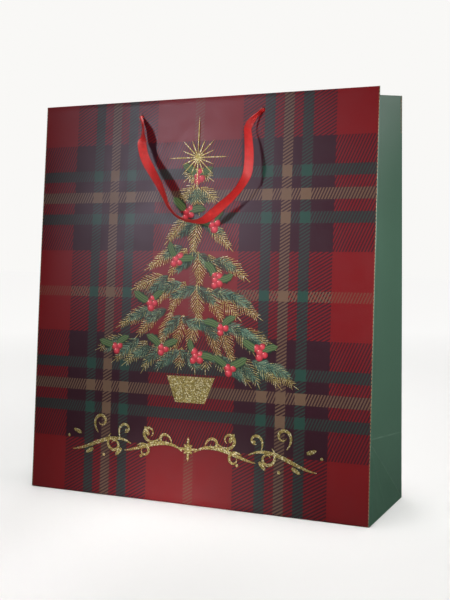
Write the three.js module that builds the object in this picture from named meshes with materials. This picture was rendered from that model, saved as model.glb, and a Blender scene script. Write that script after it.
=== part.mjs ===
// Paper gift bag with two ribbon handles. Millimetres, +Z up, the front faces -Y.
// Origin: the centre of the underside. Every wall stands on z = 0.
import * as THREE from 'three';

// ---- driving dimensions ----
const WIDTH = 400;
const DEPTH = 127;
const HEIGHT = 438;                 // measured along a panel
const PAPER = 0.6;                  // stand-in for laminated paper about 0.22 thick
const GAP = 0.3;                    // air kept between glued or touching layers
const FRONT_LEAN = 4.55;            // degrees, the front panel leans back
const BACK_LEAN = 0.6;              // degrees, the back panel leans forward
const CREASE_HEIGHT = 72;           // the fold across each side, a little over half the depth
const CUFF_DEPTH = 40;              // how far the top edge is turned in
const CUFF_BOARD = 1.0;
const BASE_BOARD = 1.5;
const HOLE_RADIUS = 3;
const HOLE_SPACING = 146;
const HOLE_BELOW_TOP = 18;
const RIBBON_WIDTH = 10;
const RIBBON_THICK = 0.8;
const STUB_RADIUS = 2.2;
const STUB_REACH = 0.15;            // the knotted end barely shows outside, clear of the swinging loop
const KNOT_RADIUS = 7;
const KNOT_DEPTH = 9;
const SEAM_WIDTH = 15;
const SEAM_INSET = 3;               // the glue flap starts this far from the panel's edge
const SEAM_FOOT = 8;
const CUFF_INSET = 6;               // the turned-in edge is trimmed clear of the sides' folds
const BOARD_BELOW_TOP = 1;
const TURN_IN_START = 0.12;         // a side's turned-in edge runs between these shares of its half width
const TURN_IN_END = 0.97;
const BOTTOM_CLEARANCE = 2.4;       // from the sides, which start to lean in at the floor
const BOTTOM_LAP = 15;              // each long bottom flap passes the middle by this much
const TUCK_SHORTFALL = 4;           // the side tucks stop short of the middle
const BASE_BOARD_CLEARANCE = 4;

const HALF_WIDTH = WIDTH / 2;
const HALF_DEPTH = DEPTH / 2;
const LAYER = PAPER + GAP;
const HOLE_HEIGHT = HEIGHT - HOLE_BELOW_TOP;

const COLOURS = {
  red: 0x8e1f22,
  green: 0x4d7158,
  white: 0xf2efe9,
  board: 0xb7aa94,
  ribbon: 0xcc1b12,
};

const group = new THREE.Group();

function addNode(name, geometry, colour) {
  const material = new THREE.MeshStandardMaterial({ color: COLOURS[colour], roughness: 0.6 });
  const mesh = new THREE.Mesh(geometry, material);
  mesh.name = name;
  group.add(mesh);
}

// ---- solids from simple surfaces ----

// A closed solid: a triangulated surface, the same surface with each point shifted, and walls between.
function thicken(points, triangles, shifts) {
  const count = points.length;
  const moved = points.map((point, i) => point.clone().add(shifts[i]));
  const all = [...points, ...moved];
  const faces = [];
  const edges = new Map();
  for (const [a, b, c] of triangles) {
    faces.push([a, b, c], [c + count, b + count, a + count]);
    for (const [from, to] of [[a, b], [b, c], [c, a]]) {
      edges.set(`${from} ${to}`, [from, to]);
    }
  }
  for (const [from, to] of edges.values()) {
    if (edges.has(`${to} ${from}`)) continue;
    faces.push([to, from, from + count], [to, from + count, to + count]);
  }
  return closedGeometry(all, faces);
}

// Turns the faces outwards if the signed volume says that they point in.
function closedGeometry(points, faces) {
  let volume = 0;
  for (const [a, b, c] of faces) {
    volume += points[a].dot(new THREE.Vector3().crossVectors(points[b], points[c]));
  }
  const turned = volume < 0 ? faces.map(([a, b, c]) => [c, b, a]) : faces;
  const geometry = new THREE.BufferGeometry().setFromPoints(points);
  geometry.setIndex(turned.flat());
  geometry.computeVertexNormals();
  return geometry;
}

// A body turned around the third axis. The profile runs from axis to axis as [radius, along].
function turned(profile, segments) {
  const points = [new THREE.Vector3(0, 0, profile[0][1])];
  const rings = profile.slice(1, -1);
  for (const [radius, along] of rings) {
    for (let i = 0; i < segments; i++) {
      const angle = (2 * Math.PI * i) / segments;
      points.push(new THREE.Vector3(radius * Math.cos(angle), radius * Math.sin(angle), along));
    }
  }
  points.push(new THREE.Vector3(0, 0, profile.at(-1)[1]));
  const last = points.length - 1;
  const at = (ring, i) => 1 + ring * segments + (i % segments);
  const faces = [];
  for (let i = 0; i < segments; i++) {
    faces.push([0, at(0, i + 1), at(0, i)]);
    faces.push([last, at(rings.length - 1, i), at(rings.length - 1, i + 1)]);
    for (let ring = 0; ring < rings.length - 1; ring++) {
      faces.push([at(ring, i), at(ring, i + 1), at(ring + 1, i + 1)]);
      faces.push([at(ring, i), at(ring + 1, i + 1), at(ring + 1, i)]);
    }
  }
  return closedGeometry(points, faces);
}

// ---- the two printed panels and what is glued to them ----

// Local axes of a panel: u across, v up the paper, w outwards. The origin is its bottom edge.
function panelMatrix(side) {
  const front = side === 'front';
  const lean = THREE.MathUtils.degToRad(front ? FRONT_LEAN : BACK_LEAN);
  const facing = front ? -1 : 1;
  const across = new THREE.Vector3(-facing, 0, 0);
  const up = new THREE.Vector3(0, -facing * Math.sin(lean), Math.cos(lean));
  const out = new THREE.Vector3().crossVectors(across, up);
  const matrix = new THREE.Matrix4().makeBasis(across, up, out);
  // the inner lower edge of a leaning sheet would dip under the floor, so the sheet is lifted by that
  const lift = PAPER * Math.sin(lean);
  return matrix.setPosition(0, facing * HALF_DEPTH, lift);
}

function rectangle(u0, u1, v0, v1) {
  const shape = new THREE.Shape();
  shape.moveTo(u0, v0);
  shape.lineTo(u1, v0);
  shape.lineTo(u1, v1);
  shape.lineTo(u0, v1);
  shape.closePath();
  return shape;
}

function punchHandleHoles(shape) {
  for (const sign of [-1, 1]) {
    const hole = new THREE.Path();
    hole.absarc((sign * HOLE_SPACING) / 2, HOLE_HEIGHT, HOLE_RADIUS, 0, 2 * Math.PI, true);
    shape.holes.push(hole);
  }
  return shape;
}

// A flat layer behind a panel's outer face: `behind` is the distance down to the layer's outer skin.
function panelLayer(side, shape, behind, thickness) {
  const settings = { depth: thickness, bevelEnabled: false, curveSegments: 12 };
  const geometry = new THREE.ExtrudeGeometry(shape, settings);
  geometry.translate(0, 0, -behind - thickness);
  return geometry.applyMatrix4(panelMatrix(side));
}

function addPanel(side) {
  const panel = punchHandleHoles(rectangle(-HALF_WIDTH, HALF_WIDTH, 0, HEIGHT));
  addNode(`${side}_panel`, panelLayer(side, panel, 0, PAPER), 'red');

  const cuffHalf = HALF_WIDTH - CUFF_INSET;
  const boardFoot = HEIGHT - CUFF_DEPTH + 2 * BOARD_BELOW_TOP;
  const board = punchHandleHoles(rectangle(-cuffHalf, cuffHalf, boardFoot, HEIGHT - BOARD_BELOW_TOP));
  addNode(`${side}_cuff_board`, panelLayer(side, board, LAYER, CUFF_BOARD), 'board');

  const cuff = punchHandleHoles(rectangle(-cuffHalf, cuffHalf, HEIGHT - CUFF_DEPTH, HEIGHT));
  addNode(`${side}_cuff_turn_in`, panelLayer(side, cuff, LAYER + CUFF_BOARD + GAP, PAPER), 'red');

  // each sheet is one panel and one side, so each panel carries the glue flap of the other sheet
  const seamEnd = HALF_WIDTH - SEAM_INSET;
  const seam = rectangle(-seamEnd, -seamEnd + SEAM_WIDTH, SEAM_FOOT, boardFoot - SEAM_INSET);
  addNode(`${side}_seam_flap`, panelLayer(side, seam, LAYER, PAPER), 'white');
}

// ---- ribbon handles ----

// The hanging loop from hole to hole as [across, above the holes, out of the panel]. The ribbon
// leaves each hole square to the panel, so it stands off before it falls.
const RIBBON_ROUTE = [
  [-73, 0, 1.7], [-70, -5, 4], [-66, -13, 8], [-64, -24, 11.5], [-63, -35, 14], [-57, -50, 16.5],
  [-46, -66, 18], [-37, -79, 19], [-30, -91, 19.5], [-24, -103, 19], [-14, -113, 18.5], [0, -118, 18],
  [15, -118, 18], [27, -111, 18], [38, -102, 18.5], [50, -92, 19], [59, -82, 19.5], [65, -71, 19],
  [66.5, -59, 18], [65.5, -45, 16], [62.5, -29, 13], [61, -20, 10.5], [64, -12, 7.5], [69, -5, 4],
  [73, 0, 1.7],
];
const RIBBON_STEPS = 72;
const PINCHED = 0.45;               // the ribbon's width at a hole, as a share of its full width
const WIDENING = 8;                 // how fast it reaches full width, per share of its length

function ribbonGeometry(side) {
  const route = RIBBON_ROUTE.map(([across, above, out]) => new THREE.Vector3(across, HOLE_HEIGHT + above, out));
  const curve = new THREE.CatmullRomCurve3(route, false, 'centripetal');
  const points = [];
  const triangles = [];
  for (let i = 0; i <= RIBBON_STEPS; i++) {
    const t = i / RIBBON_STEPS;
    const here = curve.getPointAt(t);
    const along = curve.getTangentAt(t);
    const fromEnd = Math.min(t, 1 - t);
    const half = (RIBBON_WIDTH / 2) * Math.min(1, PINCHED + fromEnd * WIDENING);
    const across = new THREE.Vector3(-along.y, along.x, 0).normalize().multiplyScalar(half);
    const skin = here.clone().setZ(here.z - RIBBON_THICK / 2);
    points.push(skin.clone().sub(across), skin.clone().add(across));
    if (i < RIBBON_STEPS) {
      const k = 2 * i;
      triangles.push([k, k + 1, k + 3], [k, k + 3, k + 2]);
    }
  }
  const outwards = points.map(() => new THREE.Vector3(0, 0, RIBBON_THICK));
  return thicken(points, triangles, outwards).applyMatrix4(panelMatrix(side));
}

// The knot inside the bag and the stub of ribbon that passes out through the hole.
function knotGeometry(side, sign) {
  const inside = -(LAYER + CUFF_BOARD + GAP + PAPER + GAP);
  const profile = [
    [0, STUB_REACH],
    [STUB_RADIUS, STUB_REACH],
    [STUB_RADIUS, inside],
    [KNOT_RADIUS * 0.7, inside],
    [KNOT_RADIUS * 0.95, inside - KNOT_DEPTH * 0.22],
    [KNOT_RADIUS, inside - KNOT_DEPTH * 0.45],
    [KNOT_RADIUS * 0.86, inside - KNOT_DEPTH * 0.72],
    [KNOT_RADIUS * 0.5, inside - KNOT_DEPTH * 0.93],
    [0, inside - KNOT_DEPTH],
  ];
  const geometry = turned(profile, 24);
  geometry.translate((sign * HOLE_SPACING) / 2, HOLE_HEIGHT, 0);
  return geometry.applyMatrix4(panelMatrix(side));
}

function addHandle(side) {
  const rightSign = side === 'front' ? 1 : -1;
  addNode(`${side}_ribbon`, ribbonGeometry(side), 'ribbon');
  addNode(`${side}_left_knot`, knotGeometry(side, -rightSign), 'ribbon');
  addNode(`${side}_right_knot`, knotGeometry(side, rightSign), 'ribbon');
}

// ---- the folded sides ----

const frontSlope = Math.tan(THREE.MathUtils.degToRad(FRONT_LEAN));
const backSlope = Math.tan(THREE.MathUtils.degToRad(BACK_LEAN));
const TOP_Z = HEIGHT * Math.cos(THREE.MathUtils.degToRad(FRONT_LEAN));

// The centre crease of a side at a height, and half the opening between the panels there.
// Half of the side's paper width stays the same, so closer panels push the crease further in.
function creaseAt(z) {
  const front = -HALF_DEPTH + z * frontSlope;
  const back = HALF_DEPTH - z * backSlope;
  const halfOpen = (back - front) / 2;
  const recess = z === 0 ? 0 : Math.sqrt(HALF_DEPTH ** 2 - halfOpen ** 2);
  return { front, back, halfOpen, recess, y: (front + back) / 2 };
}

// The outer skin of half a side, moved inwards by `behind`, as rows of two points.
// `edge` and `inner` run from 0 at the panel to 1 at the centre crease.
function gussetSheet(sideName, half, heights, edge, inner, behind) {
  const sideSign = sideName === 'left' ? -1 : 1;
  const points = [];
  const shifts = [];
  const triangles = [];
  heights.forEach((z, row) => {
    const crease = creaseAt(z);
    const slant = HALF_DEPTH / crease.halfOpen;         // a slanting sheet needs a longer sideways shift
    const start = half === 'front' ? crease.front + LAYER : crease.back - LAYER;
    const end = half === 'front' ? crease.y - GAP / 2 : crease.y + GAP / 2;
    for (const across of [edge, inner]) {
      const x = HALF_WIDTH - crease.recess * across - behind * slant;
      points.push(new THREE.Vector3(sideSign * x, THREE.MathUtils.lerp(start, end, across), z));
      shifts.push(new THREE.Vector3(-sideSign * PAPER * slant, 0, 0));
    }
    if (row > 0) {
      const k = 2 * row;
      triangles.push([k - 2, k - 1, k + 1], [k - 2, k + 1, k]);
    }
  });
  return thicken(points, triangles, shifts);
}

function spread(from, to, steps) {
  return Array.from({ length: steps + 1 }, (_, i) => THREE.MathUtils.lerp(from, to, i / steps));
}

function addGussetHalf(sideName, half) {
  const cuffHeights = spread(TOP_Z - CUFF_DEPTH, TOP_Z, 4);
  const middleHeights = spread(CREASE_HEIGHT, TOP_Z - CUFF_DEPTH, 8).slice(0, -1);
  // the first row pair holds the diagonal crease from the bottom corner to the centre crease
  const heights = [0, ...middleHeights, ...cuffHeights];
  addNode(`${sideName}_gusset_${half}`, gussetSheet(sideName, half, heights, 0, 1, 0), 'green');
  const turnIn = gussetSheet(sideName, half, cuffHeights, TURN_IN_START, TURN_IN_END, PAPER + 1.45 * GAP);
  addNode(`${sideName}_turn_in_${half}`, turnIn, 'green');
}

// ---- the folded bottom ----

function flatPlate(shape, z, thickness) {
  const geometry = new THREE.ExtrudeGeometry(shape, { depth: thickness, bevelEnabled: false });
  return geometry.translate(0, 0, z);
}

function addBottom() {
  const halfLong = HALF_WIDTH - BOTTOM_CLEARANCE;
  const halfShort = HALF_DEPTH - LAYER - GAP;
  const innerLong = halfLong - halfShort - BOTTOM_LAP; // the ends slant at 45 degrees from the corners
  for (const [name, sign, level] of [['rear', 1, 0], ['front', -1, 1]]) {
    const flap = new THREE.Shape();
    flap.moveTo(-halfLong, sign * halfShort);
    flap.lineTo(halfLong, sign * halfShort);
    flap.lineTo(innerLong, -sign * BOTTOM_LAP);
    flap.lineTo(-innerLong, -sign * BOTTOM_LAP);
    flap.closePath();
    addNode(`bottom_flap_${name}`, flatPlate(flap, level * LAYER, PAPER), 'red');
  }

  // the side flaps are tucked in first; their slanted ends follow the 45 degree folds
  const reach = HALF_DEPTH - TUCK_SHORTFALL;
  for (const [name, sign] of [['left', -1], ['right', 1]]) {
    const tuck = new THREE.Shape();
    tuck.moveTo(sign * halfLong, -halfShort);
    tuck.lineTo(sign * halfLong, halfShort);
    tuck.lineTo(sign * (halfLong - reach), halfShort - reach + TUCK_SHORTFALL / 2);
    tuck.lineTo(sign * (halfLong - reach), -halfShort + reach - TUCK_SHORTFALL / 2);
    tuck.closePath();
    addNode(`bottom_flap_${name}`, flatPlate(tuck, 2 * LAYER, PAPER), 'white');
  }

  const boardLong = HALF_WIDTH - BASE_BOARD_CLEARANCE;
  const boardShort = HALF_DEPTH - BASE_BOARD_CLEARANCE;
  const board = rectangle(-boardLong, boardLong, -boardShort, boardShort);
  addNode('base_board', flatPlate(board, 3 * LAYER, BASE_BOARD), 'board');
}

// ---- assembly ----

for (const side of ['front', 'back']) {
  addPanel(side);
  addHandle(side);
}
for (const sideName of ['left', 'right']) {
  for (const half of ['front', 'rear']) {
    addGussetHalf(sideName, half);
  }
}
addBottom();

export default group;
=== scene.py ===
"""Large paper gift bag: satin-laminated tartan print, green folded-in sides and red ribbon handles.

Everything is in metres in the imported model's frame: +Z up, the front faces -Y, z = 0 is the table.
The paper is built from its flat shape: u runs across a panel and v up the paper from the base fold.
"""
import math
import random

import bpy
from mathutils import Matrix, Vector


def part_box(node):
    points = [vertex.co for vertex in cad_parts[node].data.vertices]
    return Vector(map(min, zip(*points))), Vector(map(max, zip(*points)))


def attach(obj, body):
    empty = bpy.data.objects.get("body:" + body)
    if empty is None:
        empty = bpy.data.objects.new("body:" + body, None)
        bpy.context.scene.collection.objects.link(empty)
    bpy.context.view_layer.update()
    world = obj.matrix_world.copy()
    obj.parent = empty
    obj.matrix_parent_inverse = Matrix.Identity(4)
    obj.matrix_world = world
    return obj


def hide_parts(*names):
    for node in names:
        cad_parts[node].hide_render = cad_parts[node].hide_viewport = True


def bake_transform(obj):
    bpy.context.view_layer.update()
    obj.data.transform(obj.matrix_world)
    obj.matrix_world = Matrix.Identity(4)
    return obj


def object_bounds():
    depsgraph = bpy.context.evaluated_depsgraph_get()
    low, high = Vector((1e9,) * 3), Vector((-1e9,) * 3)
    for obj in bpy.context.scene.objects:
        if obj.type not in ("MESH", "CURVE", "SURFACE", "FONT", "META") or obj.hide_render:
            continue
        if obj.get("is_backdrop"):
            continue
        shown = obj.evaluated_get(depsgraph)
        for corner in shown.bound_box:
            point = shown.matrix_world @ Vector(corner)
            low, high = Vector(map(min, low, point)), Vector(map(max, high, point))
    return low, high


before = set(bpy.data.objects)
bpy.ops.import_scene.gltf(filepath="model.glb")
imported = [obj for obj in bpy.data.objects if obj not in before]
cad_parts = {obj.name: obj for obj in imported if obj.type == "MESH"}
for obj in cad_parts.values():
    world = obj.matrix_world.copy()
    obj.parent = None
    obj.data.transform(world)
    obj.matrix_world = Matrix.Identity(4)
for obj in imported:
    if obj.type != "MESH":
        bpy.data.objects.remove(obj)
CAD_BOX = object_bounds()

# ---- sizes, from the frame and a few of paper's own ----
MM = 0.001
CAD_PAPER = 0.6 * MM
PAPER = 0.25 * MM
front_low, front_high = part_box("front_panel")
back_low, back_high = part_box("back_panel")
WIDTH = front_high.x - front_low.x
DEPTH = back_high.y - front_low.y
HEIGHT = 438 * MM
FRONT_LEAN = math.asin((front_high.y - front_low.y - CAD_PAPER) / HEIGHT)
BACK_LEAN = math.asin((back_high.y - back_low.y - CAD_PAPER) / HEIGHT)
CROSS_FOLD = 72 * MM  # the fold across each side
CUFF = 40 * MM  # the turned-in top edge
CUFF_FOLD = 0.75 * MM  # bend radius of the top edge over its board
SIDE_TOP_FOLD = 0.35 * MM
BASE_FOLD = 0.8 * MM
CORNER_FOLD = 1.0 * MM  # how far a fold's rounding reaches to each side
HOLE_RADIUS = 3 * MM
HOLE_SQUARE = 6 * MM  # half the square of grid around a hole
HOLE_CELLS = 6  # grid cells along each side of it
HOLE_U = 73 * MM
HOLE_V = 420 * MM
SEAM_WIDTH = 15 * MM
RIBBON_WIDTH = 10 * MM
RIBBON_THICK = 0.3 * MM
HALF_W = WIDTH / 2
HALF_D = DEPTH / 2
UP = Vector((0, 0, 1))


def mix(a, b, t):
    return a + (b - a) * t


def spread(start, end, steps):
    return [mix(start, end, i / steps) for i in range(steps + 1)]


# ---- where the paper lies ----

class Wall:
    """The front or back panel. u runs to the viewer's right as the panel is faced, w out of it."""

    def __init__(self, side, facing, lean, bow):
        self.side = side
        self.body = side + "_wall"
        self.facing = facing
        self.bow = bow
        self.across = Vector((-facing, 0, 0))
        self.up = Vector((0, -facing * math.sin(lean), math.cos(lean)))
        self.out = self.across.cross(self.up)
        self.foot = Vector((0, facing * HALF_D, CAD_PAPER * math.sin(lean)))

    def swell(self, u, v):
        """Stiff paper between two folds bows out a little, and waves slightly."""
        height = max(0.0, min(1.0, v / HEIGHT))
        arch = max(0.0, math.sin(math.pi * height))
        wave = 0.35 * MM * math.sin(9 * u / WIDTH + 2.1) * math.sin(7 * height + 0.6)
        # close to its folds the paper rolls back
        roll = 1.2 * MM * math.sqrt(arch) * math.exp(-(HALF_W - abs(u)) / (14 * MM))
        return self.bow * arch * (0.8 + 0.2 * math.cos(math.pi * u / WIDTH)) + wave * arch - roll

    def point(self, u, v, w=0.0):
        return self.foot + self.across * u + self.up * v + self.out * (w + self.swell(u, v))


WALLS = {"front": Wall("front", -1, FRONT_LEAN, 2.6 * MM), "rear": Wall("back", 1, BACK_LEAN, 1.6 * MM)}


class SidePanel:
    """A folded-in side. s runs from a panel's fold to the centre crease, v up the paper."""

    def __init__(self, name):
        self.name = name
        self.sign = -1 if name == "left" else 1

    def edge(self, half, v, inset=0):
        wall = WALLS[half]
        return wall.point(self.sign * wall.across.x * (HALF_W - inset), v)

    def crease(self, v):
        """The side's paper keeps its width, so closer panels push the centre crease further in."""
        front = self.edge("front", v)
        rear = self.edge("rear", v)
        half_open = (rear - front).length / 2
        recess = math.sqrt(max(0.0, HALF_D ** 2 - half_open ** 2))
        return (front + rear) / 2 - Vector((self.sign * recess, 0, 0))

    def folded(self, half, s, v):
        """The paper with sharp folds: flat triangles below the cross fold, a ruled sheet above it."""
        across = s / HALF_D
        if v >= CROSS_FOLD:
            point = mix(self.edge(half, v), self.crease(v), across)
            rise = (v - CROSS_FOLD) / (HEIGHT - CROSS_FOLD)
            bulge = 1.3 * MM * math.sin(math.pi * max(0, min(1, across))) * math.sin(math.pi * rise)
            return point + Vector((self.sign * bulge, 0, 0))
        corner = self.edge(half, 0)
        middle = Vector((self.sign * HALF_W, 0, 0))
        top_edge = self.edge(half, CROSS_FOLD)
        top_crease = self.crease(CROSS_FOLD)
        rise = v / CROSS_FOLD
        if rise <= across:
            return corner + (middle - corner) * across + (top_crease - middle) * rise
        return corner + (top_edge - corner) * rise + (top_crease - top_edge) * across

    def rounded(self, half, s, v):
        """The same with the upright folds rounded over CORNER_FOLD to each side."""
        if s < CORNER_FOLD:
            return bend(self.edge(half, v, CORNER_FOLD), self.edge(half, v),
                        self.folded(half, CORNER_FOLD, v), (s + CORNER_FOLD) / (2 * CORNER_FOLD))
        if s > HALF_D - CORNER_FOLD and v > 0:
            other = "rear" if half == "front" else "front"
            inner = HALF_D - CORNER_FOLD
            return bend(self.folded(half, inner, v), self.folded(half, HALF_D, v),
                        self.folded(other, inner, v), (s - inner) / (2 * CORNER_FOLD))
        return self.folded(half, s, v)


def bend(start, corner, end, t):
    """A rounded corner: a quadratic curve from start to end around corner."""
    return mix(mix(start, corner, t), mix(corner, end, t), t)


# ---- flat shapes and the solids made from them ----

def band(outer, inner):
    """Faces between two closed rings of as many vertices."""
    return list(zip(outer, outer[1:] + outer[:1], inner[1:] + inner[:1], inner))


class Flat:
    """A mesh in the paper's own flat coordinates."""

    def __init__(self):
        self.points = []
        self.faces = []
        self.index = {}

    def at(self, u, v):
        key = (round(u * 1e7), round(v * 1e7))
        if key not in self.index:
            self.index[key] = len(self.points)
            self.points.append((u, v))
        return self.index[key]

    def quads(self, us, vs, skip=lambda u, v: False, diagonal=False):
        for u0, u1 in zip(us, us[1:]):
            for v0, v1 in zip(vs, vs[1:]):
                if skip((u0 + u1) / 2, (v0 + v1) / 2):
                    continue
                a, b, c, d = self.at(u0, v0), self.at(u1, v0), self.at(u1, v1), self.at(u0, v1)
                self.faces += [(a, b, c), (a, c, d)] if diagonal else [(a, b, c, d)]

    def ring_around(self, hole_u, hole_v):
        """Fills the square of grid that was left out around a round hole."""
        run = [-1 + 2 * k / HOLE_CELLS for k in range(HOLE_CELLS)]
        square = [(x, -1) for x in run] + [(1, y) for y in run]
        square += [(-x, 1) for x in run] + [(-1, -y) for y in run]
        rings = []
        for level in (0, 0.45, 0.8, 1):
            ring = []
            for x, y in square:
                angle = math.atan2(y, x)
                u = mix(HOLE_SQUARE * x, HOLE_RADIUS * math.cos(angle), level)
                v = mix(HOLE_SQUARE * y, HOLE_RADIUS * math.sin(angle), level)
                ring.append(self.at(hole_u + u, hole_v + v))
            rings.append(ring)
        for outer, inner in zip(rings, rings[1:]):
            self.faces += band(outer, inner)


def linked(name, data):
    obj = bpy.data.objects.new(name, data)
    bpy.context.scene.collection.objects.link(obj)
    return obj


def new_object(name, points, faces, materials, groups=None, flat=None, sharp_angle=40):
    mesh = bpy.data.meshes.new(name)
    mesh.from_pydata([tuple(p) for p in points], [], faces)
    for material in materials:
        mesh.materials.append(material)
    if groups:
        mesh.polygons.foreach_set("material_index", groups)
    if flat:
        layer = mesh.uv_layers.new(name="flat")
        for loop in mesh.loops:
            layer.data[loop.index].uv = flat[loop.vertex_index]
    mesh.polygons.foreach_set("use_smooth", [True] * len(mesh.polygons))
    mesh.update()
    mesh.set_sharp_from_angle(angle=math.radians(sharp_angle))
    return linked(name, mesh)


def make_sheet(name, flat, place, w_out, w_in, materials, flip=False, printed_at=None, sharp_angle=40):
    """A closed sheet between two distances w: the first material on its outer face, the last on the rest.

    The print follows the flat coordinates, or printed_at(point) where a piece shows another part of it.
    """
    count = len(flat.points)
    points = [place(u, v, w) for w in (w_out, w_in) for u, v in flat.points]
    outer = [face[::-1] if flip else face for face in flat.faces]
    inner = [tuple(i + count for i in face[::-1]) for face in outer]
    edges = {edge for face in outer for edge in zip(face, face[1:] + face[:1])}
    rims = [(b, a, a + count, b + count) for a, b in sorted(edges) if (b, a) not in edges]
    faces = outer + inner + rims
    groups = [0] * len(outer) + [len(materials) - 1] * (len(inner) + len(rims))
    places = [printed_at(point) for point in points] if printed_at else flat.points * 2
    return new_object(name, points, faces, materials, groups, places, sharp_angle)


def settle(piece, body, slot, *nodes):
    """The piece moves with its body and stands for those CAD nodes, which are hidden; slot is not used."""
    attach(piece, body)
    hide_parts(*nodes)


# ---- materials ----

class Shader:
    """A material's nodes, with short calls for the ones used here."""

    def __init__(self, name, colour=(0.5, 0.5, 0.5), roughness=0.5, **settings):
        self.material = bpy.data.materials.new(name)
        self.material.use_nodes = True
        self.tree = self.material.node_tree
        self.surface = self.tree.nodes["Principled BSDF"]
        self.set("Base Color", colour)
        self.set("Roughness", roughness)
        for socket, value in settings.items():
            self.set(socket.replace("_", " ").title(), value)

    def node(self, kind, sockets=(), **properties):
        made = self.tree.nodes.new("ShaderNode" + kind)
        for name, value in properties.items():
            setattr(made, name, value)
        for name, value in dict(sockets).items():
            self.join(value, made.inputs[name])
        return made

    def join(self, value, socket):
        if isinstance(value, bpy.types.NodeSocket):
            self.tree.links.new(value, socket)
        elif isinstance(value, tuple):
            socket.default_value = (*value, 1) if len(value) == 3 else value
        else:
            socket.default_value = value

    def math(self, operation, *values):
        made = self.node("Math", operation=operation)
        for value, socket in zip(values, made.inputs):
            self.join(value, socket)
        return made.outputs[0]

    def times(self, *factors):
        product = factors[0]
        for factor in factors[1:]:
            product = self.math("MULTIPLY", product, factor)
        return product

    def gap(self, value, middle):
        """How far value is from middle, either way."""
        return self.math("ABSOLUTE", self.math("SUBTRACT", value, middle))

    def colours(self, factor, a, b):
        sockets = {"Factor": factor, "A": a, "B": b}
        return self.node("Mix", sockets, data_type="RGBA").outputs["Result"]

    def split(self, vector):
        return self.node("SeparateXYZ", {"Vector": vector}).outputs

    def flat_place(self):
        return self.split(self.node("UVMap", uv_map="flat").outputs[0])[:2]

    def noise(self, scale, detail=2.0, roughness=0.5):
        place = self.node("TexCoord").outputs["Object"]
        sockets = {"Scale": scale, "Detail": detail, "Roughness": roughness, "Vector": place}
        return self.node("TexNoise", sockets).outputs["Fac"]

    def ramp(self, value, low, high, start=0.0, end=1.0):
        sockets = {"Value": value, "From Min": low, "From Max": high, "To Min": start, "To Max": end}
        return self.node("MapRange", sockets).outputs["Result"]

    def set(self, socket, value):
        self.join(value, self.surface.inputs[socket])

    def paint(self, factor, a, b):
        self.set("Base Color", self.colours(factor, a, b))

    def bump(self, height, distance, strength=1.0):
        made = self.node("Bump", {"Strength": strength, "Distance": distance, "Height": height})
        self.set("Normal", made.outputs[0])


# print inks, linear
RED = (0.136, 0.0034, 0.0052)
PURPLE = (0.026, 0.0055, 0.011)
GREEN = (0.019, 0.036, 0.030)
TEAL = (0.014, 0.046, 0.034)
TAN = (0.112, 0.066, 0.040)
SIDE_GREEN = (0.044, 0.092, 0.062)


def film(shader, roughness):
    """Satin lamination: smooth, with a faint orange-peel and a long slow waviness."""
    shader.set("Roughness", shader.ramp(shader.noise(60, 3), 0.3, 0.7, roughness - 0.02, roughness + 0.03))
    fine = shader.times(shader.noise(900, 2), 0.12)
    slow = shader.times(shader.noise(11, 1), 0.8)
    shader.bump(shader.math("ADD", fine, slow), 0.0006)


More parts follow.
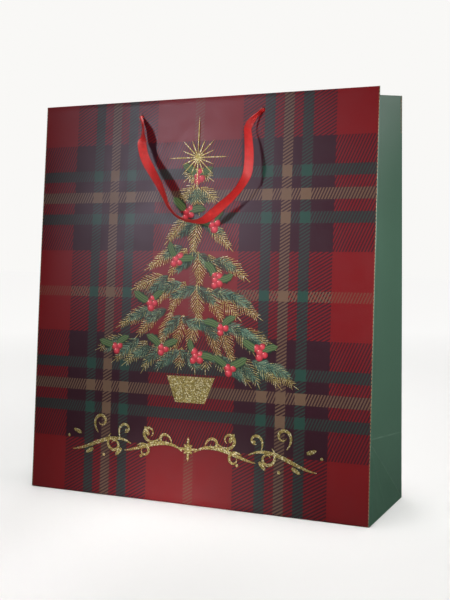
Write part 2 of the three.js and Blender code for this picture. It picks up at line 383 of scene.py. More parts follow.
def tartan():
    """The sett: purple blocks with green and tan stripes on red, all drawn as twill lines."""
    shader = Shader("tartan_print", roughness=0.4)
    u, v = shader.flat_place()
    m = shader.math

    def lines(across, along, slope, pitch):
        phase = m("FRACT", m("DIVIDE", m("SUBTRACT", along, shader.times(across, slope)), pitch))
        return m("LESS_THAN", phase, 0.5)

    def hatched(green, tan, in_block, twill):
        """One way's stripes: green and tan on red, or on purple in a block, under purple lines."""
        ground = shader.colours(in_block, RED, PURPLE)
        ground = shader.colours(green, ground, GREEN)
        ground = shader.colours(tan, ground, TAN)
        return shader.colours(twill, ground, PURPLE)

    # the sett mirrors about the middle of the panel, and about a level half way up it
    from_block_u = shader.gap(m("ABSOLUTE", u), 103.3 * MM)
    from_block_v = shader.gap(shader.gap(v, 225.2 * MM), 105.2 * MM)
    block_u = m("LESS_THAN", from_block_u, 52 * MM)
    block_v = m("LESS_THAN", from_block_v, 59.8 * MM)
    green_u = m("COMPARE", from_block_u, 21.4 * MM, 5.8 * MM)
    green_v = m("COMPARE", from_block_v, 24.4 * MM, 6.0 * MM)
    tan_u = m("LESS_THAN", from_block_u, 5.5 * MM)
    tan_v = m("LESS_THAN", from_block_v, 6.0 * MM)
    thin_u = m("LESS_THAN", m("ABSOLUTE", u), 5.5 * MM)
    thin_v = m("COMPARE", v, 224.5 * MM, 5.5 * MM)
    low_lines = lines(u, v, 0.6, 3.7 * MM)
    steep_lines = lines(v, u, 0.45, 3.3 * MM)

    # outside the blocks, red with one thin stripe each way
    thin = tuple(mix(red, tan, 0.5) for red, tan in zip(RED, TAN))
    colour = shader.colours(shader.times(thin_u, low_lines), RED, thin)
    colour = shader.colours(shader.times(thin_v, steep_lines), colour, thin)
    # the upright stripes, then the level ones, which in a block show only as their stripes
    colour = shader.colours(block_u, colour, hatched(green_u, tan_u, block_v, low_lines))
    stripe_v = m("MAXIMUM", green_v, tan_v)
    level_seen = shader.times(block_v, m("MAXIMUM", m("SUBTRACT", 1.0, block_u), stripe_v))
    colour = shader.colours(level_seen, colour, hatched(green_v, tan_v, block_u, steep_lines))
    # stripes of one colour cross as solid squares
    tan_row = shader.times(m("MAXIMUM", green_u, tan_u), tan_v)
    solid_tan = m("MAXIMUM", tan_row, shader.times(tan_u, green_v))
    crossings = [
        ((block_u, block_v, green_u, green_v), TEAL),
        ((block_u, block_v, solid_tan), TAN),
        ((thin_v, block_u, steep_lines), TAN),
        ((thin_v, green_u), TEAL),
        ((thin_v, tan_u), TAN),
    ]
    for masks, ink in crossings:
        colour = shader.colours(shader.times(*masks), colour, ink)
    # painted highlight: a dotted tan line along each upright fold, where the fold catches light
    fold_highlight_line = m("COMPARE", m("ABSOLUTE", u), HALF_W - 0.9 * MM, 0.6 * MM)
    dot = m("LESS_THAN", m("FRACT", m("DIVIDE", v, 3.7 * MM)), 0.55)
    shader.paint(shader.times(fold_highlight_line, dot), colour, (0.30, 0.17, 0.08))
    film(shader, 0.32)
    return shader.material


def side_print():
    """Plain green, paler along the folds: partly worn film, partly a painted highlight where the folds
    catch light.
    """
    shader = Shader("green_print", SIDE_GREEN, 0.4)
    s, v = shader.flat_place()
    m = shader.math
    slant = shader.gap(v, shader.times(s, CROSS_FOLD / HALF_D))
    # the slanting folds end at the cross fold
    slant = m("ADD", slant, m("GREATER_THAN", v, CROSS_FOLD))
    nearest = m("MINIMUM", m("MINIMUM", shader.gap(v, CROSS_FOLD), slant), shader.gap(s, HALF_D))
    crease = shader.ramp(nearest, 0.25 * MM, 1.1 * MM, 1.0, 0.0)
    patchy = shader.ramp(shader.noise(90, 3), 0.35, 0.65, 0.25, 1.0)
    tone = shader.ramp(shader.noise(9, 3), 0.3, 0.7)
    ground = shader.colours(tone, SIDE_GREEN, tuple(1.12 * part for part in SIDE_GREEN))
    # paler along the folds: wear of the film together with a painted highlight on the folds
    wear_and_fold_highlight = shader.times(crease, patchy, 0.4)
    shader.paint(wear_and_fold_highlight, ground, (0.16, 0.24, 0.18))
    film(shader, 0.36)
    return shader.material


def fibrous(name, roughness, scale, detail, dark, pale, depth):
    """Unprinted paper or board: mottled fibres that stand up a little."""
    shader = Shader(name, pale, roughness)
    fibre = shader.noise(scale, detail, roughness=0.7)
    shader.paint(shader.ramp(fibre, 0.35, 0.65), dark, pale)
    shader.bump(fibre, depth)
    return shader.material


def satin_ribbon():
    """Woven satin: fine threads along the ribbon, a soft sheen and slightly darker selvedges."""
    shader = Shader("satin_ribbon", (0.42, 0.005, 0.004), 0.45, sheen_weight=0.03)
    across, along = shader.flat_place()
    m = shader.math
    threads = m("SINE", shader.times(across, 2 * math.pi / (0.28 * MM)))
    weft = m("SINE", shader.times(along, 2 * math.pi / (0.5 * MM)))
    selvedge = shader.ramp(m("ABSOLUTE", across), RIBBON_WIDTH * 0.43, RIBBON_WIDTH * 0.47)
    uneven = shader.ramp(shader.noise(260, 3), 0.3, 0.7)
    colour = shader.colours(uneven, (0.36, 0.004, 0.003), (0.47, 0.006, 0.004))
    shader.paint(selvedge, colour, (0.29, 0.003, 0.003))
    shader.set("Roughness", shader.ramp(threads, -1.0, 1.0, 0.42, 0.52))
    shader.bump(m("ADD", threads, shader.times(weft, 0.4)), 0.00003, 0.6)
    return shader.material


TARTAN = tartan()
SIDE_PRINT = side_print()
WHITE = fibrous("white_paper", 0.8, 700, 4, (0.74, 0.72, 0.68), (0.82, 0.8, 0.77), 0.06 * MM)
BOARD = fibrous("grey_board", 0.85, 500, 5, (0.30, 0.27, 0.22), (0.46, 0.42, 0.35), 0.1 * MM)
RIBBON = satin_ribbon()


# ---- the paper pieces ----

ARC = math.pi * CUFF_FOLD
CUFF_START = HEIGHT - CUFF_FOLD


def over_the_top(surface, u, v, w, radius):
    """Places a point of paper that goes up to the top edge, over it, and down inside."""
    start = HEIGHT - radius
    if v <= start:
        point, out, _ = surface(u, v)
        return point + out * w
    turn = (v - start) / radius
    if turn < math.pi:
        point, out, up = surface(u, start)
        return point + out * ((radius + w) * math.cos(turn) - radius) + up * ((radius + w) * math.sin(turn))
    point, out, _ = surface(u, start - (v - start - math.pi * radius))
    return point - out * (2 * radius + w)


def wall_place(wall):
    def surface(u, v):
        return wall.point(u, v), wall.out, wall.up

    def place(u, v, w):
        if v >= BASE_FOLD:
            return over_the_top(surface, u, v, w, CUFF_FOLD)
        # the lower edge curls under into the bottom
        turn = min(math.pi / 2, (BASE_FOLD - v) / BASE_FOLD)
        start = wall.point(u, BASE_FOLD)
        outwards = wall.out * ((BASE_FOLD + w) * math.cos(turn) - BASE_FOLD)
        return start + outwards - wall.up * ((BASE_FOLD + w) * math.sin(turn))
    return place


def grid_lines(start, end, step, holes, keep=()):
    """Grid lines about `step` apart that run through the places in `keep` and the squares around holes."""
    squares = [x for hole in holes for x in spread(hole - HOLE_SQUARE, hole + HOLE_SQUARE, HOLE_CELLS)]
    stops = sorted({start, end, *keep, *squares})
    lines = [start]
    for low, high in zip(stops, stops[1:]):
        count = max(1, round((high - low) / step))
        lines += spread(low, high, count)[1:]
    return lines


def punched(us, vs, hole_rows):
    """A grid with the handle holes in those rows."""
    holes = [(u, v) for u in (-HOLE_U, HOLE_U) for v in hole_rows]

    def in_square(u, v):
        return any(abs(u - hu) < HOLE_SQUARE and abs(v - hv) < HOLE_SQUARE for hu, hv in holes)

    flat = Flat()
    flat.quads(us, vs, skip=in_square)
    for hole in holes:
        flat.ring_around(*hole)
    return flat


def panel_flat():
    end = HALF_W - CORNER_FOLD
    last = CUFF_START + ARC + CUFF
    fold_rows = spread(CUFF_START, CUFF_START + ARC, 8)
    curl_rows = spread(BASE_FOLD * (1 - math.pi / 2), BASE_FOLD, 4)
    # the holes in the panel, and again in the turned-in edge behind them
    hole_rows = (HOLE_V, CUFF_START + ARC + (CUFF_START - HOLE_V))
    us = grid_lines(-end, end, 7 * MM, (-HOLE_U, HOLE_U))
    vs = grid_lines(min(curl_rows), last, 7 * MM, hole_rows, fold_rows + curl_rows)
    return punched(us, vs, hole_rows)


def make_panel(wall):
    side = wall.side
    sheet = make_sheet(side + "_sheet", panel_flat(), wall_place(wall), 0.0, -PAPER, [TARTAN, WHITE])
    settle(sheet, wall.body, "printed_paper", side + "_panel", side + "_cuff_turn_in")


def side_place(side, half):
    facing = side.sign * (1 if half == "front" else -1)
    step = 0.2 * MM

    def surface(s, v):
        point = side.rounded(half, s, v)
        across = side.rounded(half, s + step, v) - side.rounded(half, s - step, v)
        along = side.rounded(half, s, v + step) - side.rounded(half, s, v - step)
        up = point - side.rounded(half, s, v - 2 * step)
        return point, across.cross(along).normalized() * facing, up.normalized()

    def place(s, v, w):
        return over_the_top(surface, s, v, w, SIDE_TOP_FOLD)
    return place


def side_flat():
    start = HEIGHT - SIDE_TOP_FOLD
    turned = start + math.pi * SIDE_TOP_FOLD
    inner = HALF_D - CORNER_FOLD
    middle = [s for s in spread(0, HALF_D, 14) if CORNER_FOLD * 1.5 < s < inner - CORNER_FOLD / 2]
    across = spread(-CORNER_FOLD, CORNER_FOLD, 6) + middle + spread(inner, HALF_D, 3)
    # below the cross fold the rows meet the columns on the slanting fold
    lower = [CROSS_FOLD * s / HALF_D for s in across if s >= 0]
    upper = [lower[-1]]
    for low, high, rows in ((CROSS_FOLD, start - CUFF, 24), (start - CUFF, start, 5),
                            (start, turned, 5), (turned, turned + CUFF, 6)):
        upper += spread(low, high, rows)[1:]
    flat = Flat()
    flat.quads(across, lower, diagonal=True)
    flat.quads(across, upper)
    return flat


def make_side_half(side, half):
    flip = (side.sign > 0) != (half == "front")
    name = f"{side.name}_side_{half}"
    place = side_place(side, half)
    piece = make_sheet(name, side_flat(), place, 0.0, -PAPER, [SIDE_PRINT, WHITE], flip, sharp_angle=12)
    wall = WALLS[half]
    reach = (side.crease(HEIGHT) - side.edge(half, HEIGHT)).dot(wall.out)
    end = wall.point(0, HEIGHT / 2) - wall.out * wall.swell(0, HEIGHT / 2)
    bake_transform(piece)
    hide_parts(f"{side.name}_gusset_{half}", f"{side.name}_turn_in_{half}")


SIDES = [SidePanel("left"), SidePanel("right")]
for wall in WALLS.values():
    make_panel(wall)
for side in SIDES:
    for half in WALLS:
        make_side_half(side, half)


# ---- ribbon handles ----

# from hole to hole: across, above the holes, out of the panel in mm, and twist in degrees
RIBBON_ROUTE = [
    (-73, 0, 1.7, 30), (-70, -5, 4, 32), (-66, -13, 8, 40), (-64, -24, 11.5, 30), (-63, -35, 14, -30),
    (-57, -50, 16.5, -24), (-46, -66, 18, 4), (-37, -79, 19, 18), (-30, -91, 19.5, 36), (-24, -103, 19, 56),
    (-14, -113, 18.5, 68), (0, -118, 18, 72), (15, -118, 18, 58), (27, -111, 18, 26), (38, -102, 18.5, 44),
    (50, -92, 19, 58), (59, -82, 19.5, 56), (65, -71, 19, 42), (66.5, -59, 18, 36), (65.5, -45, 16, 46),
    (62.5, -29, 13, 56), (61, -20, 10.5, 56), (64, -12, 7.5, 40), (69, -5, 4, 32), (73, 0, 1.7, 30),
]
RIBBON_STEPS = 8  # mesh rows between two points of the route
GATHER_REACH = 16 * MM  # how far from a hole the ribbon is still gathered


def through(points, steps):
    """A smooth line through the points, with `steps` places from each to the next."""
    ends = [points[0] * 2 - points[1], *points, points[-1] * 2 - points[-2]]
    line = []
    for a, b, c, d in zip(ends, ends[1:], ends[2:], ends[3:]):
        for k in range(steps):
            t = k / steps
            pull = (c - a) * t + (a * 2 - b * 5 + c * 4 - d) * t ** 2 + (b * 3 - a - c * 3 + d) * t ** 3
            line.append(b + pull * 0.5)
    return line + [points[-1]]


def make_ribbon(wall, body):
    local = [Vector((x * MM, y * MM, z * MM, math.radians(twist))) for x, y, z, twist in RIBBON_ROUTE]
    line = through(local, RIBBON_STEPS)
    spine = [wall.foot + wall.across * p[0] + wall.up * (HOLE_V + p[1]) + wall.out * p[2] for p in line]
    travelled = [0.0]
    for a, b in zip(spine, spine[1:]):
        travelled.append(travelled[-1] + (b - a).length)
    length = travelled[-1]
    row_of = {round(far * 1e7): k for k, far in enumerate(travelled)}

    def place(across, far, w):
        k = row_of[round(far * 1e7)]
        along = (spine[min(k + 1, len(spine) - 1)] - spine[max(k - 1, 0)]).normalized()
        side = wall.out.cross(along).normalized()
        face = along.cross(side)
        twist = line[k][3]
        twisted_side = side * math.cos(twist) + face * math.sin(twist)
        face = face * math.cos(twist) - side * math.sin(twist)
        # gathered at the holes, where the flat ribbon folds up to pass through
        from_end = min(far, length - far)
        gathered = math.exp(-((from_end / GATHER_REACH) ** 2))
        share = across / (RIBBON_WIDTH / 2)
        narrow = 1 - 0.66 * gathered
        fold = 0.8 * MM * gathered * math.cos(3 * math.pi * share) + 0.5 * MM * (1 - gathered) * share ** 2
        ripple = 0.25 * MM * math.sin(far / (11 * MM)) * share
        return spine[k] + twisted_side * (across * narrow) + face * (w + fold + ripple)

    flat = Flat()
    flat.quads(spread(-RIBBON_WIDTH / 2, RIBBON_WIDTH / 2, 14), travelled)
    half = RIBBON_THICK / 2
    ribbon = make_sheet(wall.side + "_ribbon_band", flat, place, half, -half, [RIBBON], sharp_angle=50)
    settle(ribbon, body, "ribbon", wall.side + "_ribbon")
    tuple(spine[0])
    [tuple(p) for p in spine]


def tube(path, size, sides=10):
    """Vertices and faces of a closed tube; size(t) gives its half width and half thickness."""
    points = []
    side = None
    for k, here in enumerate(path):
        along = (path[min(k + 1, len(path) - 1)] - path[max(k - 1, 0)]).normalized()
        side = along.orthogonal() if side is None else side - along * side.dot(along)
        side.normalize()
        face = along.cross(side)
        wide, thick = size(k / (len(path) - 1))
        for i in range(sides):
            angle = 2 * math.pi * i / sides
            points.append(here + side * (wide * math.cos(angle)) + face * (thick * math.sin(angle)))
    rings = [tuple(range(first, first + sides)) for first in range(0, len(points), sides)]
    faces = [face for ring_a, ring_b in zip(rings, rings[1:]) for face in band(ring_a, ring_b)]
    return points, faces + [rings[0][::-1], rings[-1]]


INSIDE = 2 * CUFF_FOLD  # how deep the turned-in edge lies behind the panel's face


def make_knot(wall, sign):
    """The ribbon's end: gathered through the hole, tied in an overhand knot, with a short tail."""
    def spot(u, v, w):
        return wall.point(sign * HOLE_U + u * MM, HOLE_V + v * MM, w * MM)

    inside = -INSIDE / MM
    route = [spot(0, 0, 0.7), spot(0.2, 0, -0.5), spot(0, 0.3, inside - 1.5)]
    middle_w = inside - 4.2
    turns = 26
    for k in range(turns + 1):
        t = 0.35 + (2 * math.pi - 0.7) * k / turns
        u = 1.75 * (math.sin(t) + 2 * math.sin(2 * t))
        v = 1.75 * (math.cos(t) - 2 * math.cos(2 * t))
        route.append(spot(u, v, middle_w - 1.9 * math.sin(3 * t)))
    tail = [(-2.5, -8, middle_w - 1), (-3, -14, inside - 2.5), (-2, -24, inside - 1.6)]
    line = through(route + [spot(u * sign, v, w) for u, v, w in tail], 4)

    def size(t):
        if t < 0.12:
            return 2.1 * MM, 1.9 * MM
        flat_out = min(1, max(0, (t - 0.86) / 0.06))
        return mix(2.2, 4.6, flat_out) * MM, mix(1.25, 0.25, flat_out) * MM

    points, faces = tube(line, size, 12)
    across = "right" if sign * wall.across.x > 0 else "left"
    knot = new_object(f"{wall.side}_{across}_tied_end", points, faces, [RIBBON], sharp_angle=50)
    settle(knot, wall.body, "ribbon", f"{wall.side}_{across}_knot")


# ---- what lies inside and under the paper ----

def make_cuff_board(wall):
    """A strip of grey board inside the turned-in top edge."""
    half = HALF_W - 6 * MM
    us = grid_lines(-half, half, 12 * MM, (-HOLE_U, HOLE_U))
    vs = grid_lines(HEIGHT - CUFF + 2 * MM, CUFF_START - 0.2 * MM, 12 * MM, (HOLE_V,))
    flat = punched(us, vs, (HOLE_V,))
    gap = PAPER * 1.1
    board = make_sheet(wall.side + "_cuff_strip", flat, wall.point, -gap, gap - INSIDE, [BOARD])
    settle(board, wall.body, "board", wall.side + "_cuff_board")


def make_seam(wall):
    """The glue flap of the other sheet, with trimmed corners, behind this panel's edge."""
    edge = -HALF_W + 1.5 * MM
    low, high = 4 * MM, HEIGHT - CUFF - 3 * MM
    flat = Flat()
    flat.quads(spread(edge, edge + SEAM_WIDTH, 3), spread(low, high, 40))

    def place(u, v, w):
        trim = max(0, 8 * MM - (v - low), 8 * MM - (high - v)) * 0.6
        return wall.point(min(u, edge + SEAM_WIDTH - trim), v, w)

    seam = make_sheet(wall.side + "_glued_seam", flat, place, -PAPER * 1.1, -PAPER * 2.1, [WHITE])
    settle(seam, wall.body, "white_paper", wall.side + "_seam_flap")


LAP = 15 * MM  # how far a long bottom flap passes the middle
STEP_RAMP = 5 * MM  # length of the slope up onto the lap
TUCK_REACH = HALF_D - 4 * MM
BOARD_WARP = 0.5 * MM


def make_long_flap(wall, half_name):
    """A long bottom flap with slanted ends. The rear one is glued over the front one."""
    long = HALF_W - 1 * MM
    reach = HALF_D + LAP
    step_at = HALF_D - LAP

    def place(share, d, w):
        half = long - max(0, d - 1 * MM)
        height = PAPER
        if wall.side == "front":
            height += PAPER * 1.3 * min(1, max(0, (d - step_at + STEP_RAMP) / STEP_RAMP))
        return Vector((share * half, wall.facing * (HALF_D - d), height - PAPER - w))

    flat = Flat()
    rows = spread(1.5 * BASE_FOLD, step_at - STEP_RAMP, 6) + spread(step_at - STEP_RAMP, reach, 8)[1:]
    flat.quads(spread(-1, 1, 24), rows)
    flap = make_sheet(wall.side + "_bottom_fold", flat, place, 0.0, -PAPER, [TARTAN, WHITE],
                      flip=wall.side == "back", printed_at=lambda p: (p.x, wall.facing * p.y - HALF_D))
    settle(flap, "bag_base", "printed_paper", "bottom_flap_" + half_name)


def make_side_tuck(side):
    """The green side paper folded under, inside the long flaps: a trapezium with 45 degree ends."""
    level = 3.2 * PAPER

    def place(d, share, w):
        half = HALF_D - 1 * MM - max(0, d - 3 * MM) * 0.95
        return Vector((side.sign * (HALF_W - 1 * MM - d), share * half, level - w))

    flat = Flat()
    flat.quads(spread(0, TUCK_REACH, 10), spread(-1, 1, 16))
    tuck = make_sheet(side.name + "_bottom_tuck", flat, place, 0.0, -PAPER, [SIDE_PRINT, WHITE],
                      flip=side.sign > 0, printed_at=lambda p: (p.x, p.y))
    settle(tuck, "bag_base", "green_paper", "bottom_flap_" + side.name)


def make_base_board():
    """The loose board on the folded bottom: rounded corners and a slight warp up at its ends."""
    low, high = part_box("base_board")
    half_x = (high.x - low.x) / 2
    half_y = (high.y - low.y) / 2
    thick = high.z - low.z - BOARD_WARP
    middle_y = (low.y + high.y) / 2
    corner = 4 * MM

    def place(across, along, w):
        into_corner = max(0, abs(across) - half_x + corner)
        inset = corner - math.sqrt(max(0, corner ** 2 - into_corner ** 2))
        rise = BOARD_WARP * (across / half_x) ** 2
        return Vector((across, middle_y + (half_y - inset) * along, low.z + w + rise))

    rounded = spread(half_x - corner, half_x, 6)
    middle = spread(corner - half_x, half_x - corner, 24)[1:-1]
    flat = Flat()
    flat.quads([-x for x in reversed(rounded)] + middle + rounded, spread(-1, 1, 10))
    board = make_sheet("bottom_board", flat, place, thick, 0.0, [BOARD])
    settle(board, "bag_base", "board", "base_board")


for half, wall in WALLS.items():
    make_ribbon(wall, half + "_handle")
    for sign in (-1, 1):
        make_knot(wall, sign)
    make_cuff_board(wall)
    make_seam(wall)
    make_long_flap(wall, half)
for side in SIDES:
    make_side_tuck(side)
make_base_board()


# ---- artwork printed and glittered on the panels, from flat shapes with a slight relief ----

ART_BASE = 0.04 * MM  # how far the lowest artwork stands off the print
ART_STEP = 0.006 * MM  # each later shape lies this much higher


class Artwork:
    """Collects small raised shapes by material, in a panel's flat millimetres from its middle and foot."""

    def __init__(self):
        self.layers = {}
        self.order = 0

    def next_height(self):
        self.order += 1
        return ART_BASE + ART_STEP * self.order

    def add(self, layer, outline, crown, rise, lift=None, crown_of=None, local=None):
        """A closed shape: a flat outline, and crown points above it, one or a ridge of several.

        Each outline point joins to the crown point that crown_of gives for it.
        """
        store = self.layers.setdefault(layer, {"points": [], "faces": [], "local": []})
        base = self.next_height() if lift is None else lift
        first = len(store["points"])
        count = len(outline)
        crown_of = crown_of or [0] * count
        store["points"] += [(u, v, base) for u, v in outline]
        store["points"] += [(u, v, base + rise) for u, v in crown]
        local_outline, local_crown = local or ([(0, 1)] * count, [(0, 0)] * len(crown))
        store["local"] += local_outline + local_crown
        store["faces"].append(tuple(first + k for k in reversed(range(count))))
        for k in range(count):
            after = (k + 1) % count
            a = first + count + crown_of[k]
            b = first + count + crown_of[after]
            store["faces"].append((first + k, first + after, a))
            if a != b:
                store["faces"].append((first + after, b, a))

    def build(self, wall, materials):
        for layer, store in self.layers.items():
            points = [wall.point(u * MM, v * MM, w) for u, v, w in store["points"]]
            piece = new_object(f"{wall.side}_print_{layer}", points, store["faces"], [materials[layer]],
                               flat=store["local"], sharp_angle=60)
            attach(piece, wall.body)


def polar(length, angle):
    """A step of that length at an angle in degrees, counted from straight right."""
    return length * math.cos(math.radians(angle)), length * math.sin(math.radians(angle))


def moved(start, length, angle):
    step = polar(length, angle)
    return start[0] + step[0], start[1] + step[1]


def beside(start, angle, forward, left):
    """A place so far forward along the angle and so far to the left of it."""
    x, y = polar(1, angle)
    return start[0] + x * forward - y * left, start[1] + y * forward + x * left


def ring(middle, radius, sides):
    return [moved(middle, radius, 360 / sides * k) for k in range(sides)]


def needle(art, layer, start, angle, length, width, lift):
    """A slim blade of nearly even width with a pointed tip."""
    edge = [(0, -0.3), (0.3, -0.5), (0.8, -0.38), (1, 0), (0.8, 0.38), (0.3, 0.5), (0, 0.3)]
    outline = [beside(start, angle, length * share, width * across) for share, across in edge]
    art.add(layer, outline, [beside(start, angle, length * 0.3, 0)], 0.09 * MM, lift)


SPRAYS = {
    "gold": {"length": 14.0, "width": 0.85, "pitch": 3.3, "spread": 42, "layers": ["gold"]},
    "green": {"length": 12.5, "width": 0.8, "pitch": 1.45, "spread": 40,
              "layers": ["fir_dark", "fir_mid", "fir_light"]},
}


def spray(art, start, angle, length, kind, draw):
    """A fir twig: a bent stem with needles on both sides, shorter towards the tip."""
    style = SPRAYS[kind]
    lift = art.next_height()
    droop = draw.uniform(-14, 14)
    count = max(4, round(length / style["pitch"]))
    here = start
    heading = angle - droop / 2
    for k in range(count):
        t = k / count
        shape = (0.7 + 0.3 * math.sin(math.pi * min(1, t * 1.6))) * (1 - 0.35 * t ** 3)
        for side in (-1, 1):
            reach = style["length"] * shape * draw.uniform(0.92, 1.06)
            out = heading + side * (style["spread"] + draw.uniform(-4, 4)) * (1 - 0.2 * t)
            layer = draw.choice(style["layers"])
            needle(art, layer, here, out, reach, style["width"], lift + ART_STEP * draw.uniform(0, 0.8))
        needle(art, style["layers"][0], here, heading, length / count * 2.2, 0.7, lift)
        here = moved(here, length / count, heading)
        heading += droop / count
    needle(art, style["layers"][-1], here, heading, style["length"] * 0.6, style["width"], lift)


def holly_leaf(art, start, angle, length, draw):
    """A spined leaf: scallops between points on both edges, with a raised midrib."""
    lobes = 4
    per_lobe = 4
    half = length * 0.31
    lift = art.next_height()
    curl = draw.uniform(-0.12, 0.12)

    def spot(t, across):
        return beside(start, angle, length * t, across + curl * length * math.sin(math.pi * t))

    right, left = [], []
    for k in range(1, lobes * per_lobe):
        t = k / (lobes * per_lobe)
        in_lobe = (k % per_lobe) / per_lobe
        scallop = 1.0 if k % per_lobe == 0 else 0.7 + 0.2 * abs(in_lobe - 0.5)
        width = half * math.sin(math.pi * t ** 0.9) ** 0.7 * scallop
        right.append((t, -width))
        left.append((t, width))
    edge = [(0.0, 0.0), *right, (1.0, 0.0), *reversed(left)]
    ridge = spread(0.08, 0.92, 6)
    crown_of = [min(range(len(ridge)), key=lambda i: abs(ridge[i] - t)) for t, _ in edge]
    local = ([(t, across / half) for t, across in edge], [(t, 0.0) for t in ridge])
    outline = [spot(t, across) for t, across in edge]
    art.add("holly", outline, [spot(t, 0) for t in ridge], 0.22 * MM, lift, crown_of, local)


def berry(art, middle, radius):
    """A low dome in three rings."""
    lift = art.next_height()
    sides = 14
    for level, (share, rise) in enumerate(((1.0, 0.32), (0.72, 0.5), (0.4, 0.6))):
        outline = ring(middle, radius * share, sides)
        spot = (middle[0] - radius * 0.1, middle[1] + radius * 0.1)
        local = ([(0.0, share)] * sides, [(0.0, share * 0.6)])
        height = rise * radius * 0.25 * MM
        art.add("berry", outline, [spot], height, lift + level * 0.02 * MM, local=local)
    glint = (middle[0] - radius * 0.3 - 0.6, middle[1] + radius * 0.35 - 0.4)
    needle(art, "glint", glint, 40, 1.6, 0.9, lift + radius * 0.2 * MM)


def holly_cluster(art, middle, turn, draw):
    """Two leaves apart and three to five berries between them."""
    for side in (-1, 1):
        angle = turn + side * draw.uniform(50, 68)
        holly_leaf(art, moved(middle, 2.0, angle), angle, draw.uniform(18, 22), draw)
    count = draw.choice((3, 4, 4, 5))
    for k in range(count):
        spot = moved(middle, 5.6 if k else 0.5, turn + 180 + (k - 1) * 75 + draw.uniform(-12, 12))
        berry(art, spot, draw.uniform(3.7, 4.4))


# from the foot up: where each garland of twigs begins on the left and ends on the right, in mm
GARLANDS = [
    ((-98, 172), (104, 150)),
    ((-66, 206), (74, 184)),
    ((-48, 241), (56, 220)),
    ((-32, 274), (40, 258)),
    ((-18, 306), (24, 296)),
    ((-7, 338), (8, 335)),
    ((-3, 357), (3, 356)),
]
TWIG_SHARE = [1, 1, 1, 1, 0.9, 0.62, 0.42]  # how long the twigs of each garland are
POT_TOP = 136
# middles of the holly clusters, and the way each opens
HOLLY = [
    (0, 352, 90), (-11, 313, 75), (20, 299, 110), (-22, 262, 60), (26, 240, 70), (-52, 214, 95),
    (34, 190, 100), (-94, 165, 100), (-36, 166, 80), (6, 158, 60), (44, 148, 95), (80, 166, 85),
]


def along(garland, count):
    """Evenly spaced places on a garland, each with its share of the way along."""
    (left_u, left_v), (right_u, right_v) = garland
    for k in range(count):
        t = (k + 0.5) / count
        yield t, mix(left_u, right_u, t), mix(left_v, right_v, t)


def tree(art, draw):
    """Garlands of fir across the tree, gold twigs fanning out under green ones, with holly on them."""
    for tier, garland in enumerate(GARLANDS):
        width = garland[1][0] - garland[0][0]
        for t, u, v in along(garland, max(3, round(width / 15))):
            heading = -90 + mix(-68, 66, t) + draw.uniform(-10, 10)
            length = draw.uniform(32, 40) * TWIG_SHARE[tier]
            if tier == 0:
                # the lowest twigs stop at the pot
                drop = max(0.2, -math.sin(math.radians(heading)))
                length = min(length, (v - POT_TOP + (6 if abs(u) > 40 else -6)) / drop)
            spray(art, (u * 0.92, v + 4), heading, length, "gold", draw)
        for t, u, v in along(garland, max(2, round(width / 17))):
            side = -1 if t < 0.42 else 1
            heading = -90 + side * (66 + draw.uniform(-24, 14))
            foot = (u - side * 8, v + draw.uniform(-2, 5))
            spray(art, foot, heading, draw.uniform(23, 31) * TWIG_SHARE[tier], "green", draw)
    for u, v, turn in HOLLY:
        holly_cluster(art, (u, v), turn, draw)


def star(art, middle):
    """Long upright and level rays, with shorter slanting ones between them."""
    for k, length in enumerate([46, 21, 27, 21] + [36, 21, 27, 21] * 3):
        needle(art, "glitter", middle, 90 + k * 22.5, length, 1.3, None)
    art.add("glitter", ring(middle, 2.6, 12), [middle], 0.25 * MM)


def pot(art):
    """A plain tapering pot."""
    top, foot, low = 28.5, 17.5, POT_TOP - 28
    outline = [(-foot, low), (foot, low), (top, POT_TOP), (-top, POT_TOP)]
    ridge = [(-foot * 0.9, (low + POT_TOP) / 2), (foot * 0.9, (low + POT_TOP) / 2)]
    art.add("glitter", outline, ridge, 0.12 * MM, crown_of=[0, 1, 1, 0])


def stroke(art, start, heading, length, curls, width):
    """A pen stroke on a spiral: its turn per millimetre goes evenly between the two curls, in degrees."""
    count = max(10, round(length / 1.6))
    here = start
    spine, left, right = [], [], []
    for k in range(count + 1):
        t = k / count
        half = width / 2 * math.sin(math.pi * min(1, 0.06 + 0.9 * t)) ** 0.8
        right.append(moved(here, half, heading - 90))
        left.append(moved(here, half, heading + 90))
        spine.append(here)
        here = moved(here, length / count, heading)
        heading += mix(*curls, t) * length / count
    crown_of = list(range(count + 1)) + list(reversed(range(count + 1)))
    art.add("glitter", right + left[::-1], spine, 0.14 * MM, crown_of=crown_of)


# the scroll's right half: where each stroke starts, its heading, length, curls at both ends and width
STROKES = [
    ((7, 0), 38, 74, -2.2, 1.1, 4.2),
    ((70, 3), 30, 78, -2.1, 1.3, 4.0),
    ((34, 12), -40, 48, 2.5, 14.0, 3.2),
    ((62, 2), 150, 34, 4.0, 17.0, 3.0),
    ((96, 12), -55, 44, -3.0, -15.0, 3.2),
    ((112, 12), 50, 46, 2.5, 15.0, 3.2),
    ((20, 8), 75, 32, -4.0, -19.0, 3.0),
    ((84, 9), 70, 34, 3.0, 17.0, 2.8),
]


def flourish(art, v):
    """A mirrored scroll where greetings are usually set: waves, curls, leaves and dots."""
    for side in (-1, 1):
        for (u, rise), heading, length, curl_start, curl_end, width in STROKES:
            curls = (side * curl_start, side * curl_end)
            stroke(art, (side * u, v + rise), 90 + side * (heading - 90), length, curls, width)
        for u, rise, heading in ((48, 14, 60), (82, -3, -50), (118, -6, -30), (134, 10, 20)):
            needle(art, "glitter", (side * u, v + rise), 90 + side * (heading - 90), 11, 4.4, None)
        for u, rise in ((57, -9), (76, 17), (104, -12), (150, 6)):
            dot = (side * u, v + rise)
            art.add("glitter", ring(dot, 1.7, 10), [dot], 0.12 * MM)
    for k in range(8):
        needle(art, "glitter", (0, v + 3), 90 + 45 * k, 13 if k % 2 == 0 else 7, 3.0, None)


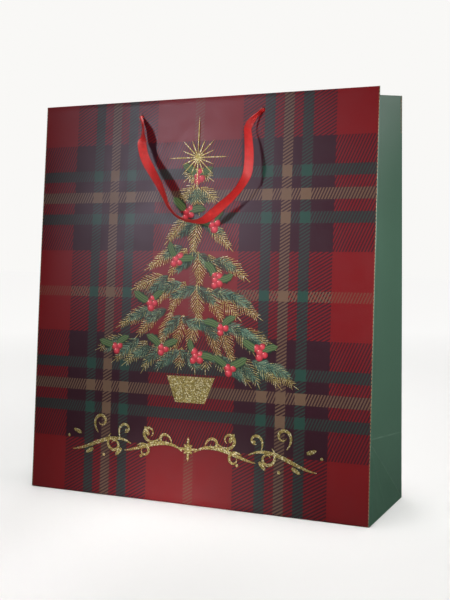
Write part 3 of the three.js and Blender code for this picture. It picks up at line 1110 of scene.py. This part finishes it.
def gold_glitter(name, coarse):
    """Gold flakes, each one tilted and toned its own way."""
    shader = Shader(name, (0.72, 0.5, 0.2), 0.38, metallic=0.75)
    place = shader.node("TexCoord").outputs["Object"]
    cells = shader.node("TexVoronoi", {"Scale": coarse, "Vector": place})
    tone, chance, tilt = shader.split(cells.outputs["Color"])
    dark = shader.colours(tone, (0.20, 0.145, 0.03), (0.66, 0.54, 0.19))
    spark = shader.math("GREATER_THAN", chance, 0.86)
    shader.paint(spark, dark, (1.0, 0.94, 0.62))
    shader.bump(tilt, 0.0002, 0.8)
    return shader.material


def printed(name, colour, other):
    """Flat ink that varies a little between two tones."""
    shader = Shader(name, colour, 0.42)
    tone = shader.ramp(shader.noise(120, 3), 0.35, 0.65)
    shader.paint(tone, colour, other)
    return shader.material


def holly_ink():
    """Dark leaf with a pale midrib and side veins; local u runs along it and v across."""
    shader = Shader("holly_ink", (0.03, 0.09, 0.04), 0.42)
    along, across = shader.flat_place()
    m = shader.math
    away = m("ABSOLUTE", across)
    rib = m("LESS_THAN", away, 0.06)
    vein_phase = m("FRACT", shader.times(m("SUBTRACT", along, shader.times(away, 0.16)), 7.0))
    vein = shader.times(m("LESS_THAN", vein_phase, 0.14), m("LESS_THAN", away, 0.75))
    sheen = shader.ramp(shader.gap(away, 0.34), 0.0, 0.3, 0.9, 0.0)
    colour = shader.colours(sheen, (0.006, 0.022, 0.012), (0.09, 0.15, 0.045))
    lines = m("MAXIMUM", rib, shader.times(vein, 0.15))
    shader.paint(lines, colour, (0.11, 0.17, 0.06))
    return shader.material


def berry_ink():
    shader = Shader("berry_ink", (0.55, 0.03, 0.03), 0.35)
    _, rim = shader.flat_place()
    shade = shader.ramp(rim, 0.35, 1.0)
    shader.paint(shade, (0.62, 0.06, 0.08), (0.27, 0.010, 0.020))
    return shader.material


ART_INKS = {
    "gold": gold_glitter("gold_needles", 1400),
    "glitter": gold_glitter("gold_glitter", 1100),
    "fir_dark": printed("fir_dark", (0.008, 0.028, 0.020), (0.014, 0.040, 0.028)),
    "fir_mid": printed("fir_mid", (0.028, 0.072, 0.052), (0.042, 0.095, 0.062)),
    "fir_light": printed("fir_light", (0.085, 0.155, 0.11), (0.12, 0.20, 0.13)),
    "holly": holly_ink(),
    "berry": berry_ink(),
    "glint": printed("berry_glint", (0.8, 0.4, 0.36), (0.85, 0.5, 0.45)),
}


for wall in WALLS.values():
    art = Artwork()
    pot(art)
    tree(art, random.Random(7))
    star(art, (0, 372))
    flourish(art, 56)
    art.build(wall, ART_INKS)


# ---- stage: pale floor, soft studio light and the camera ----

OVERHEAD = 3.3  # strength of the soft light from straight above
ROOM = 0.012  # strength of the dim room around the bag
LAMPS = [  # name, place, target, size, beam angle, power and colour
    ("haze_top", (-0.98, -1.74, 0.88), (0.01, -0.05, 0.42), (0.12, 0.7), 16, 0.082, (0.97, 0.92, 1.08)),
    ("right_front", (0.85, -1.35, 0.65), (0.13, -0.05, 0.24), (0.2, 0.2), 27, 0.58, (1, 1, 1)),
    ("low_middle", (-0.05, -1.5, 0.15), (-0.03, -0.06, -0.03), (0.15, 0.1), 10, 0.1, (1, 1, 1)),
    ("side", (1.5, -0.5, 0.75), (0.19, 0, 0.33), (0.4, 0.4), 180, 4.2, (1, 1, 1)),
    ("back_fill", (-0.9, 1.7, 0.9), (0, 0.06, 0.25), (0.5, 0.5), 60, 0.9, (1, 1, 1)),
]


def area_light(name, place, target, size, beam, power, colour):
    data = bpy.data.lights.new(name, "AREA")
    data.shape = "RECTANGLE"
    data.size, data.size_y = size
    data.spread = math.radians(beam)
    data.energy = power
    data.color = colour
    lamp = linked(name, data)
    lamp.location = place
    lamp.rotation_euler = (Vector(target) - Vector(place)).to_track_quat("-Z", "Y").to_euler()


def floor_paint():
    """Matt paint, a little greyer near the bag, where the lamps add to the overhead light."""
    shader = Shader("floor", roughness=0.95)
    distance = shader.node("VectorMath", operation="LENGTH")
    shader.join(shader.node("TexCoord").outputs["Object"], distance.inputs[0])
    away = shader.ramp(distance.outputs["Value"], 0.3, 2.0)
    shader.paint(away, (0.725, 0.718, 0.706), (0.93, 0.922, 0.908))
    return shader.material


def make_stage():
    half = 6.0
    points = [(-half, -half, 0), (half, -half, 0), (half, half, 0), (-half, half, 0)]
    floor = new_object("floor", points, [(0, 1, 2, 3)], [floor_paint()])
    floor.location.z = -0.0005
    floor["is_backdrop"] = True
    # a dark studio beyond the pale floor: the glossy film mirrors only the lamps
    floor.visible_glossy = False
    make_world()
    sun = bpy.data.lights.new("overhead", "SUN")
    sun.energy = OVERHEAD
    sun.angle = math.radians(25)
    linked("overhead", sun)
    for lamp in LAMPS:
        area_light(*lamp)


def make_world():
    """A plain near-white backdrop to look at, and a dim room to light and reflect."""
    world = bpy.data.worlds.new("studio")
    bpy.context.scene.world = world
    world.use_nodes = True
    tree = world.node_tree
    room = tree.nodes["Background"]
    room.inputs["Color"].default_value = (0.9, 0.95, 1.0, 1)
    room.inputs["Strength"].default_value = ROOM
    backdrop = tree.nodes.new("ShaderNodeBackground")
    backdrop.inputs["Color"].default_value = (0.947, 0.939, 0.922, 1)
    path = tree.nodes.new("ShaderNodeLightPath")
    choose = tree.nodes.new("ShaderNodeMixShader")
    sources = (path.outputs["Is Camera Ray"], room.outputs[0], backdrop.outputs[0])
    for source, socket in zip(sources, choose.inputs):
        tree.links.new(source, socket)
    tree.links.new(choose.outputs[0], tree.nodes["World Output"].inputs["Surface"])


def make_camera():
    data = bpy.data.cameras.new("camera")
    data.lens = 59.2
    data.sensor_width = 36
    data.shift_y = -0.06
    camera = linked("camera", data)
    camera.location = (1.074 * HEIGHT, -2.130 * HEIGHT - HALF_D, 0.646 * HEIGHT)
    turn = math.radians(24.54)
    dip = math.radians(1.45)
    camera.rotation_euler = (math.pi / 2 - dip, 0, turn)
    bpy.context.scene.camera = camera


make_stage()
make_camera()
bpy.context.scene.view_settings.view_transform = "Standard"

boxes = {"cad": CAD_BOX, "visual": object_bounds()}
{name: [list(corner) for corner in box] for name, box in boxes.items()}
